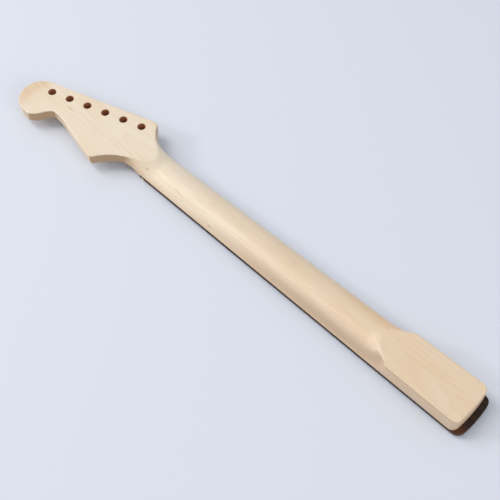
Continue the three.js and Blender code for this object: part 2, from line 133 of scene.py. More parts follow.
add_lamp("broad_lamp", (-3.5, -0.9, 3.15), (0, 0, 0), 2.2, 53, (1, 0.985, 0.96))
add_lamp("high_lamp", (-1.50, -0.66, 2.85), (0, 0, 0), 1.0, 18, (1, 0.99, 0.98))
add_lamp("fill_lamp", (2.6, -0.4, 1.6), (0, 0, 0), 1.6, 19, (0.98, 0.99, 1))
add_lamp("low_lamp", (-1.98, -1.55, 1.32), (0.1, 0, 0), 0.45, 14, (1, 0.985, 0.96))
world = bpy.data.worlds.new("pale_room")
world.use_nodes = True
room = world.node_tree.nodes["Background"].inputs
room["Color"].default_value = room_tone
room["Strength"].default_value = room_strength
bpy.context.scene.world = world
bpy.context.scene.view_settings.view_transform = "Standard"


# Maple neck blank
# Headstock, shaft and heel are carved from one plank of hard maple: the head and heel are flat slabs,
# and the shaft's back is a rounded C that coves out into both. Every edge is sanded soft, six tuner
# holes are bored through the head, and the truss rod's channel and pocket are routed from the front.
nut_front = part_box("string_nut")[1].x
rod_low, rod_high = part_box("truss_rod_adjuster")
glue_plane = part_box("maple_neck_blank")[0].z
neck_origin = np.array((nut_front, (rod_low.y + rod_high.y) / 2, glue_plane))

scale_length = 0.648
fret_count = 22
nut_width = 0.0422
heel_width = 0.0562
last_fret_past_heel = 0.00256

head_step = 0.0037
head_back = head_step + 0.0145
heel_back = 0.0194
shaft_depth_at_nut = 0.0143
shaft_depth_at_heel = 0.0172
shaft_roundness = 1.85
shoulder_share = 0.62
head_cove_start = 0.0135
treble_head_cove = (0.045, 0.028)
bass_head_cove = (0.050, 0.032)
treble_heel_reach = 0.1290
treble_heel_cove = (0.036, 0.019)
bass_heel_reach = 0.1336
bass_heel_cove = (0.041, 0.022)
heel_end_sag = 0.0018
heel_corner_radius = 0.008

head_length = 0.1988
ball_radius = 0.0272
ball_neck_angle = math.radians(-85)
head_tip = np.array((-0.0575, -0.0515))
tip_rounding = 0.004
scoop_depth = 0.022
corner_distance = 0.0365
corner_rounding = 0.003
tuner_pitch = 0.0254
tuner_row_angle = math.radians(17.1)
tuner_hole_radius = 0.005
tuner_count = 6
first_tuner = np.array((-0.0463, 0.0223))
tuner_edge_margin = 0.0137
step_radius = 0.014
step_foot = 0.019

treble_flare_shares = np.array([[0.348, 0.045], [0.557, 0.125], [0.748, 0.391], [0.887, 0.68]])
bass_flare_shares = np.array([[0.167, 0.03], [0.375, 0.1], [0.569, 0.235], [0.786, 0.545]])
scoop_shares = np.array([
    [0.119, 0.163], [0.373, 0.534], [0.566, 0.844], [0.666, 0.961], [0.737, 0.998], [0.778, 0.941],
    [0.809, 0.788], [0.836, 0.585], [0.868, 0.322], [0.909, 0.106], [0.95, -0.012],
])

sanded_off = 0.00007
head_back_edge = 0.0012
head_front_edge = 0.0020
heel_edge = 0.0016
glue_edge = 0.00012
hole_edge = 0.0005
head_crease = 0.0012
heel_crease = 0.0020
edge_support = 0.0004
join_turn = 0.004

# How finely the curves are cut
flare_stations = 90
scoop_stations = 260
ball_stations = 181
corner_stations = 13
end_curve_stations = 60
heel_end_stations = 150
heel_path_step = 0.0009
head_path_step = 0.0007
head_cove_rows = 94
shaft_rows = 66
heel_cove_rows = 70
crown_columns = 82
edge_turn = np.linspace(0, math.pi / 2, 6)
wall_shares = np.linspace(0, 1, 12)[1:]
back_turn = np.linspace(0, math.pi / 2, 9)[1:]
bore_stations = 56
bore_rows = 9


def fret_place(number):
    """Distance of a fret from the nut: each is a twelfth root of two nearer to the bridge than the last."""
    return scale_length * (1 - 2 ** (-np.asarray(number) / 12))


heel_end = float(fret_place(fret_count)) - last_fret_past_heel


def half_width(x):
    """Half the neck's width, which grows evenly from the nut to the heel's end."""
    return nut_width / 2 + (heel_width - nut_width) / 2 * x / heel_end


def smooth_curve(points, count):
    """A Catmull-Rom curve through points: each span's ends lean half the way between their neighbours."""
    padded = np.vstack((points[:1], points, points[-1:], points[-1:]))
    along = np.linspace(0, len(points) - 1, count)
    span = np.minimum(along.astype(int), len(points) - 1)
    t = (along - span)[:, None]
    before, start, end, after = (padded[span + shift] for shift in range(4))
    lean_start, lean_end = (end - before) / 2, (after - start) / 2
    cubic = (2 * start - 2 * end + lean_start + lean_end) * t ** 3
    square = (3 * end - 3 * start - 2 * lean_start - lean_end) * t ** 2
    return cubic + square + lean_start * t + start


def parabola(start, corner, end, count):
    """A curve that leaves its start towards a corner and comes from that corner into its end."""
    t = np.linspace(0, 1, count)[:, None]
    return start * (1 - t) ** 2 + corner * 2 * t * (1 - t) + end * t ** 2


def soft_corner(before, corner, after, size):
    """A polyline over a corner that a parabola rounds off from one size before it to one size past it."""
    before = before[np.linalg.norm(before - corner, axis=1) > size]
    after = after[np.linalg.norm(after - corner, axis=1) > size]
    start = corner + (before[-1] - corner) * size / np.linalg.norm(before[-1] - corner)
    end = corner + (after[0] - corner) * size / np.linalg.norm(after[0] - corner)
    return np.vstack((before, parabola(start, corner, end, corner_stations), after))


def run_along(points):
    """Length of a polyline up to each of its points."""
    return np.concatenate(([0], np.cumsum(np.linalg.norm(np.diff(points, axis=0), axis=1))))


def resampled(points, count):
    """The same polyline with a count of points, an even step apart."""
    run = run_along(points)
    places = np.linspace(0, run[-1], count)
    return np.column_stack([np.interp(places, run, points[:, axis]) for axis in (0, 1)])


def evened(points, step):
    """The same polyline with its points close to one step apart."""
    return resampled(points, int(round(run_along(points)[-1] / step)) + 1)


def inward(points):
    """Unit normals to the left of a polyline, square to the run between each point's neighbours."""
    run = np.gradient(points, axis=0)
    left = np.column_stack((-run[:, 1], run[:, 0]))
    return left / np.linalg.norm(left, axis=1)[:, None]


def flare(goal, shares, side):
    """Curve from the nut's edge to a goal: along its length, and out by shares of what it gains."""
    start = np.array((0, side * nut_width / 2))
    return smooth_curve(np.vstack((start, start + (goal - start) * shares, goal)), flare_stations)


row_direction = np.array((math.cos(tuner_row_angle), math.sin(tuner_row_angle)))
row_outward = np.array((-row_direction[1], row_direction[0]))
edge_point = first_tuner + row_outward * tuner_edge_margin
tuners = first_tuner - np.arange(tuner_count)[:, None] * tuner_pitch * row_direction


def tuner_edge(x):
    """Point of the head's straight edge at a distance from the nut: it runs beside the tuner row."""
    return np.array((x, edge_point[1] + (x - edge_point[0]) * math.tan(tuner_row_angle)))


head_corner = tuner_edge(-corner_distance)
ball_x = ball_radius - head_length
ball_centre = tuner_edge(ball_x) - np.array((0, ball_radius / math.cos(tuner_row_angle)))
ball_end = tuner_row_angle + math.pi / 2 - 2 * math.pi
ball_angles = np.linspace(ball_neck_angle, ball_end, ball_stations)[:, None]
ball_line = ball_centre + ball_radius * np.hstack((np.cos(ball_angles), np.sin(ball_angles)))
scoop_knots = head_tip + (ball_line[0] - head_tip) * scoop_shares[:, :1]
scoop_knots[:, 1] += scoop_depth * scoop_shares[:, 1]
scoop_line = smooth_curve(np.vstack((head_tip, scoop_knots, ball_line[0])), scoop_stations)
treble_flare = flare(head_tip, treble_flare_shares, -1)
bass_flare = flare(head_corner, bass_flare_shares, 1)
treble_line = soft_corner(treble_flare[:-1], head_tip, scoop_line[1:], tip_rounding)
bass_line = soft_corner(bass_flare[:-1], head_corner, np.array([ball_line[-1]]), corner_rounding)

# The head's slab starts at its join, where both coves have run out; from there to the heel the
# neck is cut into cross sections, closer together in the coves.
head_join = -0.0396
heel_join = max(
    heel_end - treble_heel_reach + treble_heel_cove[0],
    heel_end - bass_heel_reach + bass_heel_cove[0],
)
heel_cove_start = heel_end - bass_heel_reach
step_edge = math.sqrt(step_radius ** 2 - (step_radius - head_step) ** 2) - step_foot
section_places = np.unique(np.round(np.concatenate((
    np.linspace(head_join, head_cove_start, head_cove_rows),
    [step_edge],
    np.linspace(head_cove_start, heel_cove_start, shaft_rows),
    np.linspace(heel_cove_start, heel_join, heel_cove_rows),
)), 7))


def side_reach(x, line):
    """Distance from the centreline to one side: the head's outline before the nut, the taper after it."""
    order = np.argsort(line[:, 0])
    beside_head = np.interp(x, line[order, 0], np.abs(line[order, 1]))
    return np.where(x < 0, beside_head, half_width(x)) - sanded_off


def cove_depth(distance, size):
    """Extra depth of a cove: its rise times s to the 1.5 over 1 less s to the 6, s its share of the run."""
    share = np.clip(distance / size[0], 0, 0.9995)
    return size[1] * share ** 1.5 / (1 - share ** 6)


def side_depths(x):
    """Depth of the treble and the bass half of the shaft: an even taper, deeper in the coves at both ends."""
    taper = shaft_depth_at_nut + (shaft_depth_at_heel - shaft_depth_at_nut) * x / heel_end
    return [
        taper + (cove_depth(head_cove_start - x, head_cove) + cove_depth(x - heel_end + reach, heel_cove))
        for head_cove, reach, heel_cove in (
            (treble_head_cove, treble_heel_reach, treble_heel_cove),
            (bass_head_cove, bass_heel_reach, bass_heel_cove),
        )
    ]


def smooth_step(share):
    """The curve 3 s squared less 2 s cubed, from 0 to 1."""
    share = np.clip(share, 0, 1)
    return share * share * (3 - 2 * share)


def shaft_height(across, depths):
    """Height of the C section where across is the share of the half width, signed to the bass side."""
    side = np.sign(across) * np.abs(across) ** (shaft_roundness / 2)
    depth = depths[0] + (depths[1] - depths[0]) * smooth_step((side + 1) / 2)
    return depth * np.clip(1 - np.abs(across) ** shaft_roundness, 0, 1) ** (1 / shaft_roundness)


def shaft_inset(height, depths, side):
    """Share of the half width by which the C section has drawn in at a height, found in six rounds."""
    depth = depths[(side + 1) // 2]
    for _ in range(6):
        across = np.clip(1 - (height / depth) ** shaft_roundness, 0, 1) ** (1 / shaft_roundness)
        turn = smooth_step((side * across ** (shaft_roundness / 2) + 1) / 2)
        depth = depths[0] + (depths[1] - depths[0]) * turn
    return 1 - across


def soft_lower(first, second, softness):
    """The lower of two heights, eased by a quarter of the softness where they cross."""
    near = np.clip(1 - np.abs(first - second) / softness, 0, 1)
    return np.minimum(first, second) - near ** 2 * softness / 4


def by_end(x, head, heel):
    """The head's value before the middle of the shaft, and the heel's after it."""
    return np.where(x < (head_cove_start + heel_cove_start) / 2, head, heel)


def front_plane(x):
    """Height of the front: the head's face, a round step behind the nut, then the glue plane."""
    drop = step_radius - np.sqrt(step_radius ** 2 - np.clip(x + step_foot, 0, step_radius * 0.999) ** 2)
    return np.maximum(head_step - drop, 0)


def front_edge(x):
    """Radius of the front edge, which runs out where the fingerboard starts."""
    run_out = smooth_step((x + step_foot) / (step_edge + step_foot))
    return head_front_edge + (glue_edge - head_front_edge) * run_out


def wall_profile(front, back):
    """Insets, shares of the height and extra rises up a straight wall between two soft edges.

    The columns run over a front support, the front edge, the wall, the back edge and a back support.
    """
    flat = np.zeros_like(front)
    inset = np.hstack((
        front + edge_support,
        front * (1 - np.sin(edge_turn)),
        flat * wall_shares,
        back * (1 - np.cos(back_turn)),
        back + edge_support,
    ))
    share = np.concatenate(([0], 0 * edge_turn, wall_shares, 1 + 0 * back_turn, [1]))
    rise = np.hstack((
        flat,
        front * (1 - np.cos(edge_turn)),
        front * (1 - wall_shares) - back * wall_shares,
        back * (np.sin(back_turn) - 1),
        flat,
    ))
    return inset, share, rise


def side_profile(x, side, reach, slope):
    """Insets along Y and heights up one side of a cross section.

    The wall follows the C section, and the crown's start is the lower of it and the back's soft edge.
    """
    depths = [depth[:, None] for depth in side_depths(x)]
    x, reach, slope = x[:, None], reach[:, None], slope[:, None]
    front, back = front_edge(x), by_end(x, head_back_edge, heel_edge)
    floor, top = front_plane(x), by_end(x, head_back, heel_back)
    foot = floor + front
    shoulder = np.minimum(top - back, shoulder_share * depths[(side + 1) // 2])
    wall_height = foot + (shoulder - foot) * wall_shares
    front_height = floor + front * (1 - np.cos(edge_turn))
    low_inset = shaft_inset(np.hstack((front_height, wall_height)), depths, side) * reach
    front_inset = low_inset[:, :len(edge_turn)] + front * (1 - np.sin(edge_turn)) * slope
    wall_inset = low_inset[:, len(edge_turn):]
    start = wall_inset[:, -1:]
    crown_inset = start + np.hstack((back * (1 - np.cos(back_turn)), back + edge_support)) * slope
    inset = np.hstack((wall_inset, crown_inset))
    edge_depth = np.clip(1 - inset / slope / back, 0, 1)
    edge_height = top - back + back * np.sqrt(1 - edge_depth ** 2)
    section = shaft_height(side * (1 - inset / reach), depths)
    section[:, :len(wall_shares)] = wall_height
    height = soft_lower(edge_height, section, by_end(x, head_crease, heel_crease))
    return (
        np.hstack((front_inset[:, :1] + edge_support, front_inset, inset)),
        np.hstack((floor, front_height, height)),
    )


def side_walls(x, side, line):
    """Points of one long side as rows of cross sections, whose edges widen with the outline's slope."""
    reach = side_reach(x, line)
    slope = np.sqrt(1 + np.gradient(reach, x) ** 2)
    inset, height = side_profile(x, side, reach, slope)
    return np.dstack((np.broadcast_to(x[:, None], inset.shape), side * (reach[:, None] - inset), height))


def carried_walls(points):
    """The wall profile carried along an outline, inset square to it, but along Y next to its two ends."""
    x = points[:, :1]
    inset, share, rise = wall_profile(front_edge(x), by_end(x, head_back_edge, heel_edge))
    floor = front_plane(x)
    height = floor + (by_end(x, head_back, heel_back) - floor) * share + rise
    square = inward(points)
    run = run_along(points)
    near_end = smooth_step(1 - np.minimum(run, run[-1] - run) / join_turn)[:, None]
    along_y = near_end / np.where(near_end > 0, square[:, 1:], 1) * (0, 1)
    lean = square * (1 - near_end) + along_y
    plan = points[:, None] + lean[:, None] * (inset + sanded_off)[:, :, None]
    return np.dstack((plan, height))


def end_outline(shoulder, end, sag, radius, count):
    """Plan of a bowed end with soft corners: three parabolas from the treble side round to the bass."""
    side, far = half_width(shoulder), half_width(end)
    knots = np.array([
        (shoulder, -side), (end - sag, -far), (end - sag / 2, radius - far), (end + sag / 2, 0),
        (end - sag / 2, far - radius), (end - sag, far), (shoulder, side),
    ])
    curves = [parabola(*knots[first:first + 3], end_curve_stations) for first in (0, 2, 4)]
    return resampled(np.vstack((curves[0], curves[1][1:], curves[2][1:])), count)


def numbered(points, first=0):
    """Numbers of a grid's points, in the grid's own shape, from a first number on."""
    return first + np.arange(points[..., 0].size).reshape(points.shape[:-1])


def grid_faces(numbers, around=False):
    """Four-cornered faces between neighbouring rows and columns of a grid of point numbers."""
    if around:
        numbers = np.vstack((numbers, numbers[:1]))
    corners = (numbers[:-1, :-1], numbers[1:, :-1], numbers[1:, 1:], numbers[:-1, 1:])
    return np.stack(corners, axis=-1).reshape(-1, 4)


def filled_faces(plan, loop, holes):
    """Triangles that fill a loop in plan, without those that have all their corners on one round hole."""
    numbers = np.concatenate([loop] + holes)
    ring = np.repeat(np.arange(len(holes) + 1), [len(loop)] + [len(hole) for hole in holes])
    starts = np.concatenate(([0], np.nonzero(np.diff(ring))[0] + 1))
    after = np.arange(1, len(numbers) + 1)
    after[np.concatenate((starts[1:], [len(numbers)])) - 1] = starts
    rims = np.column_stack((np.arange(len(numbers)), after))[len(loop):].tolist()
    spots = [Vector(spot) for spot in plan[numbers] * 1000]
    filled = delaunay_2d_cdt(spots, rims, [list(range(len(loop)))], 1, 1e-6)
    source = np.array([origin[0] for origin in filled[3]])
    corners = source[np.array(filled[2])]
    on_hole = (ring[corners] == ring[corners[:, :1]]).all(axis=1) & (ring[corners[:, 0]] > 0)
    return numbers[corners[~on_hole]]


treble_walls = side_walls(section_places, -1, treble_line)
bass_walls = side_walls(section_places, 1, bass_line)

heel_shoulder = heel_end - heel_end_sag - heel_corner_radius
heel_line = end_outline(heel_shoulder, heel_end, heel_end_sag, heel_corner_radius, heel_end_stations)
heel_path = evened(np.vstack((
    (heel_join, -half_width(heel_join)),
    heel_line,
    (heel_join, half_width(heel_join)),
)), heel_path_step)
round_head = treble_line[::-1]
head_path = evened(np.vstack((
    tuner_edge(head_join),
    ball_line[::-1],
    round_head[round_head[:, 0] < head_join][1:],
    (head_join, -np.interp(head_join, treble_flare[::-1, 0], -treble_flare[::-1, 1])),
)), head_path_step)
heel_walls = carried_walls(heel_path)[1:-1]
head_walls = carried_walls(head_path)[1:-1]
wall_points = np.concatenate((treble_walls, heel_walls, bass_walls[::-1], head_walls))
wall_numbers = numbered(wall_points)

# The crown: rows between the two long sides, each height the lower of the C section and the flat back
rows = len(section_places)
treble_numbers = wall_numbers[:rows]
bass_numbers = wall_numbers[rows + len(heel_walls):][:rows][::-1]
crown_share = np.linspace(0, 1, crown_columns)[1:-1]
treble_start, bass_start = treble_walls[:, -1, 1:2], bass_walls[:, -1, 1:2]
crown_y = treble_start + (bass_start - treble_start) * crown_share
crown_x = np.broadcast_to(section_places[:, None], crown_y.shape)
crown_reach = np.where(crown_y < 0, side_reach(crown_x, treble_line), side_reach(crown_x, bass_line))
crown_z = soft_lower(
    by_end(crown_x, head_back, heel_back),
    shaft_height(crown_y / crown_reach, side_depths(crown_x)),
    by_end(crown_x, head_crease, heel_crease),
)
crown_points = np.dstack((crown_x, crown_y, crown_z))
crown_numbers = numbered(crown_points, wall_numbers.size)
crown_grid = np.hstack((treble_numbers[:, -1:], crown_numbers, bass_numbers[:, -1:]))

# The tuner holes: a bore's profile carried round each centre, with softened rims
bore_heights = np.linspace(head_back - hole_edge, head_step + hole_edge, bore_rows)[1:-1]
rim_widths = tuner_hole_radius + hole_edge * (1 - np.sin(edge_turn))
rim_drops = hole_edge * (1 - np.cos(edge_turn))
rim_support = [tuner_hole_radius + hole_edge + edge_support]
straight_bore = np.full(len(bore_heights), tuner_hole_radius)
bore_widths = np.concatenate((rim_support, rim_widths, straight_bore, rim_widths[::-1], rim_support))
bore_levels = np.concatenate((
    [head_back], head_back - rim_drops, bore_heights, (head_step + rim_drops)[::-1], [head_step],
))
bore_angles = np.linspace(0, 2 * math.pi, bore_stations, endpoint=False)[:, None]
bore_points = np.stack([
    np.dstack((
        centre[0] + np.cos(bore_angles) * bore_widths,
        centre[1] + np.sin(bore_angles) * bore_widths,
        np.broadcast_to(bore_levels, (bore_stations, len(bore_levels))),
    ))
    for centre in tuners
])
bore_numbers = numbered(bore_points, wall_numbers.size + crown_numbers.size)

blank_points = np.vstack([points.reshape(-1, 3) for points in (wall_points, crown_points, bore_points)])
plan = blank_points[:, :2]
heel_numbers = wall_numbers[rows - 1:rows + len(heel_walls) + 1]
head_numbers = np.vstack((wall_numbers[rows * 2 + len(heel_walls) - 1:], wall_numbers[:1]))
back_rings = list(bore_numbers[:, :, 0])
front_rings = list(bore_numbers[:, :, -1])
head_back_faces = filled_faces(plan, np.concatenate((head_numbers[:, -1], crown_numbers[0])), back_rings)
head_front_faces = filled_faces(plan, head_numbers[:, 0], front_rings)[:, ::-1]
heel_back_faces = filled_faces(plan, np.concatenate((heel_numbers[:, -1], crown_numbers[-1][::-1])), [])
heel_front_faces = filled_faces(plan, heel_numbers[:, 0], [])[:, ::-1]
glue_faces = np.column_stack((
    treble_numbers[:-1, 0], bass_numbers[:-1, 0], bass_numbers[1:, 0], treble_numbers[1:, 0],
))
blank_faces = [
    face
    for group in (
        grid_faces(wall_numbers, around=True),
        grid_faces(crown_grid),
        *(grid_faces(numbers, around=True) for numbers in bore_numbers),
        head_back_faces, head_front_faces, heel_back_faces, heel_front_faces, glue_faces,
    )
    for face in group.tolist()
]


def prism(outline, low, high, axis=2):
    """Points and faces of an outline carried straight along one axis between two places.

    The outline runs round the axis by the right hand, in the two axes that come after it.
    """
    count = len(outline)
    points = np.zeros((2, count, 3))
    points[:, :, axis] = np.array((low, high))[:, None]
    points[:, :, (axis + 1) % 3] = outline[:, 0]
    points[:, :, (axis + 2) % 3] = outline[:, 1]
    numbers = np.arange(count)
    after = (numbers + 1) % count
    sides = np.column_stack((numbers, after, after + count, numbers + count)).tolist()
    return points.reshape(-1, 3), [numbers[::-1].tolist(), (numbers + count).tolist()] + sides


def together(shapes):
    """The points and faces of many shapes as those of one."""
    points, faces = [], []
    for shape_points, shape_faces in shapes:
        first = sum(len(group) for group in points)
        faces += [[first + number for number in face] for face in shape_faces]
        points.append(shape_points)
    return np.vstack(points), faces


def cut_away(piece, shape):
    """Cuts a closed shape, given by its points and faces, out of a piece."""
    cutter = add_mesh_object("cutter", shape[0] + neck_origin, shape[1], piece.data.materials[0])
    cut = piece.modifiers.new("cut", "BOOLEAN")
    cut.operation = "DIFFERENCE"
    cut.solver = "EXACT"
    cut.object = cutter
    result = bpy.data.meshes.new_from_object(piece.evaluated_get(bpy.context.evaluated_depsgraph_get()))
    piece.modifiers.clear()
    piece.data = result
    bpy.data.objects.remove(cutter)


def smooth_over(piece, degrees=35):
    """Smooth shading that stays sharp across edges steeper than an angle."""
    piece.data.shade_smooth()
    piece.data.set_sharp_from_angle(angle=math.radians(degrees))


def circle(centre, radius, count, start=0.0, turn=2 * math.pi):
    """Points of an arc round a centre, without its last point where it is a whole circle."""
    whole = turn >= 2 * math.pi
    angles = start + np.linspace(0, turn, count, endpoint=not whole)
    return np.column_stack((centre[0] + radius * np.cos(angles), centre[1] + radius * np.sin(angles)))


class Look:
    """The node tree of a material or an effect group. Its methods add nodes and give their results."""

    def __init__(self, tree, ends):
        """Takes the tree and the inputs at its end: those of the shader or of the group's output node."""
        self.tree = tree
        self.ends = ends

    def add(self, kind, settings, inputs):
        """Outputs of a new shader node with its settings, its inputs linked or set to a plain value."""
        node = self.tree.nodes.new("ShaderNode" + kind)
        for name, value in settings.items():
            setattr(node, name, value)
        for name, value in inputs.items():
            if isinstance(value, bpy.types.NodeSocket):
                self.tree.links.new(value, node.inputs[name])
            else:
                node.inputs[name].default_value = value
        return node.outputs

    def give(self, name, result):
        """Joins a result to the input of that name at the tree's end."""
        self.tree.links.new(result, self.ends[name])

    def worked_out(self, operation, *terms):
        """The result of a math operation on one to three sockets or values."""
        return self.add("Math", {"operation": operation}, dict(enumerate(terms)))[0]

    def product(self, mask, *others):
        """A mask times each of some others."""
        for other in others:
            mask = self.worked_out("MULTIPLY", mask, other)
        return mask

    def scaled_and_added(self, value, factor, base):
        """A value times a factor, plus a base."""
        return self.worked_out("MULTIPLY_ADD", value, factor, base)

    def ranged(self, value, low, high, start=0.0, end=1.0):
        """A smooth rise from the start value, at or below low, to the end value, at or above high."""
        limits = {"Value": value, "From Min": low, "From Max": high, "To Min": start, "To Max": end}
        return self.add("MapRange", {"interpolation_type": "SMOOTHSTEP"}, limits)["Result"]

    def tinted(self, share, base, tint, blend="MULTIPLY"):
        """A base colour blended with a tint by a share."""
        settings = {"data_type": "RGBA", "blend_type": blend}
        return self.add("Mix", settings, {0: share, 6: base, 7: tint})[2]

    def parts(self, vector):
        """The X, Y and Z of a vector."""
        return self.add("SeparateXYZ", {}, {0: vector})

    def length(self, vector):
        """The length of a vector."""
        return self.add("VectorMath", {"operation": "LENGTH"}, {0: vector})["Value"]

    def noise(self, place, size, detail=2.0, roughness=0.5):
        """Noise from 0 to 1 whose spots measure a given size, in metres, along each axis."""
        spot = self.add("VectorMath", {"operation": "DIVIDE"}, {0: place, 1: size})[0]
        return self.add("TexNoise", {}, {
            "Vector": spot, "Scale": 1.0, "Detail": detail, "Roughness": roughness,
        })[0]

    def spot(self, place, centre, size, turn=0.0):
        """A mask from 1 at a centre to 0 at an ellipsoid of half sizes, turned about Z."""
        local = self.add("Mapping", {"vector_type": "TEXTURE"}, {
            "Vector": place, "Location": centre, "Rotation": (0, 0, turn), "Scale": size,
        })[0]
        return self.ranged(self.length(local), 0.2, 1.0, 1.0, 0.0)

    def bump(self, height, distance):
        """Joins a height to the shader's normal, as a bump of a distance in metres."""
        raised = self.add("Bump", {}, {"Strength": 1.0, "Distance": distance, "Height": height})
        self.give("Normal", raised["Normal"])


def effect_group(name, inputs, outputs):
    """A shader node group with named inputs and outputs, its look and the sockets that it is given."""
    group = bpy.data.node_groups.new(name, "ShaderNodeTree")
    for label, kind in inputs.items():
        group.interface.new_socket(label, in_out="INPUT", socket_type="NodeSocket" + kind)
    for label in outputs:
        group.interface.new_socket(label, in_out="OUTPUT", socket_type="NodeSocketFloat")
    given = group.nodes.new("NodeGroupInput").outputs
    return group, Look(group, group.nodes.new("NodeGroupOutput").inputs), given


# Growth rings round a tree axis that runs beside the neck, long fibres, short pores and soft clouds
wood_grain, look, given = effect_group(
    "wood_grain",
    {"Place": "Vector", "Ring Width": "Float", "Fibre Size": "Vector", "Pore Size": "Vector"},
    ("Rings", "Fibres", "Pores", "Clouds"),
)
place = given["Place"]
round_axis = look.add("VectorMath", {"operation": "MULTIPLY"}, {0: place, 1: (0.01, 1, 1)})[0]
ring_count = look.worked_out("DIVIDE", look.length(round_axis), given["Ring Width"])
drift = look.noise(place, (0.12, 0.03, 0.03), 2.0)
ring_phase = look.worked_out("FRACT", look.scaled_and_added(drift, 3.0, ring_count))
late_wood = look.ranged(ring_phase, 0.1, 0.85)
look.give("Rings", look.product(late_wood, look.ranged(ring_phase, 0.86, 1.0, 1.0, 0.0)))
look.give("Fibres", look.noise(place, given["Fibre Size"], 4.0, 0.6))
look.give("Pores", look.ranged(look.noise(place, given["Pore Size"], 1.0), 0.60, 0.70))
look.give("Clouds", look.noise(place, (0.07, 0.022, 0.022), 3.0))

head_tone = (0.888, 0.768, 0.613, 1)
heel_tone = (0.865, 0.686, 0.500, 1)
ring_tint = (0.84, 0.72, 0.57, 1)
fibre_tint = (0.90, 0.82, 0.70, 1)
cloud_tint = (0.96, 0.91, 0.84, 1)
pore_tint = (0.70, 0.56, 0.42, 1)
# Tints of painted shade: on the flanks that turn from the back, on the near and far flanks, and on the head's
# walls
flank_shade_tint = (0.97, 0.88, 0.79, 1)
far_flank_shade_tint = (1.0, 0.91, 0.76, 1)
near_flank_shade_tint = (0.69, 0.66, 0.65, 1)
head_wall_shade_tint = (0.56, 0.455, 0.35, 1)
ball_end_tint = (0.90, 0.79, 0.68, 1)
# Painted shade on the bore walls, darker and redder
bore_shade_tint = (0.80, 0.55, 0.47, 1)
mineral_tint = (0.72, 0.69, 0.56, 1)
mineral_streaks = [
    ((-0.1340, -0.0051, 0.0201), (0.0036, 0.0013, 0.004), 0.0),
    ((-0.2668, -0.0083, 0.0259), (0.0085, 0.0013, 0.010), 0.0),
    ((-0.0857, -0.0030, 0.0190), (0.0095, 0.0007, 0.010), -0.15),
    ((-0.0270, -0.0106, 0.0142), (0.0040, 0.0008, 0.010), 0.0),
]
burnished_centre = (0.2125, -0.0070, 0.0240)
burnished_size = (0.009, 0.007, 0.007)
ball_band_shift = 0.002

maple, maple_shader = plain_material("maple", head_tone, 0.36)
maple_shader.inputs["Specular IOR Level"].default_value = 0.62
look = Look(maple.node_tree, maple_shader.inputs)
coordinates = look.add("TexCoord", {}, {})
place = coordinates["Object"]
plank_place = look.add("Mapping", {}, {
    "Vector": place, "Location": (0, -0.006, 0.042), "Rotation": (0, 0.012, 0.016),
})[0]
grain = look.add("Group", {"node_tree": wood_grain}, {
    "Place": plank_place, "Ring Width": 0.0017,
    "Fibre Size": (0.06, 0.0011, 0.0011), "Pore Size": (0.0030, 0.00028, 0.00028),
})
facing = look.parts(coordinates["Normal"])
along_neck = look.parts(place)[0]
tone = look.tinted(look.ranged(along_neck, -0.15, 0.12), head_tone, heel_tone, "MIX")
for mask, strength, tint in (
    (grain["Rings"], 0.16, ring_tint),
    (look.ranged(grain["Fibres"], 0.48, 0.75), look.ranged(along_neck, -0.2, 0.1, 0.22, 0.45), fibre_tint),
    (look.ranged(grain["Clouds"], 0.42, 0.72), 0.6, cloud_tint),
    (grain["Pores"], 0.30, pore_tint),
):
    tone = look.tinted(look.product(mask, strength), tone, tint)
for centre, size, turn in mineral_streaks:
    tone = look.tinted(look.spot(place, centre, size, turn), tone, mineral_tint)

# The sides of the neck get painted shade by the way they face and their place along it; then the ball's end,
# and painted shade on the bore walls
upright = look.ranged(facing[2], 0.0, 0.5, 1.0, 0.0)
heel_wall = look.product(upright, look.ranged(along_neck, 0.17, 0.22))
# Painted shade: faces that turn from the back are darker and warmer, less so on the heel's walls, and towards
# the head not on faces turned to its end
flank_shade = look.product(
    look.ranged(facing[2], 0.15, 0.85, 1.0, 0.0),
    look.scaled_and_added(heel_wall, -0.45, 1.0),
    look.worked_out("MAXIMUM", look.ranged(facing[0], -0.6, -0.1), look.ranged(along_neck, 0.0, 0.1)),
)
# Painted shade: the bass-facing flank towards the heel is tinted darker and warmer
far_flank_shade = look.product(look.ranged(along_neck, 0.12, 0.20), look.ranged(facing[1], 0.1, 0.5))
# Painted shade: the treble-facing flank is darker, more so towards the heel
near_flank_shade = look.product(
    look.ranged(facing[1], -0.75, -0.25, 1.0, 0.0),
    look.ranged(facing[2], 0.15, 0.6, 0.35, 1.0),
    look.ranged(along_neck, -0.12, 0.15),
)
# Painted shade: the head's upright walls are darker and warmer, except those turned towards its end
head_wall_shade = look.product(
    upright,
    look.ranged(along_neck, -0.145, -0.115, 1.0, 0.0),
    look.ranged(facing[0], -0.2, 0.4),
)
from_ball = look.add("Mapping", {"vector_type": "TEXTURE"}, {
    "Vector": place, "Scale": (ball_radius, ball_radius, 1),
    "Location": (ball_centre[0] + neck_origin[0] + ball_band_shift, ball_centre[1] + neck_origin[1], 0),
})[0]
ball_band = look.product(
    look.ranged(look.length(from_ball), 0.15, 0.80),
    look.ranged(look.parts(from_ball)[0], -0.7, 0.0, 1.0, 0.0),
    look.ranged(grain["Fibres"], 0.35, 0.65, 0.6, 1.0),
)
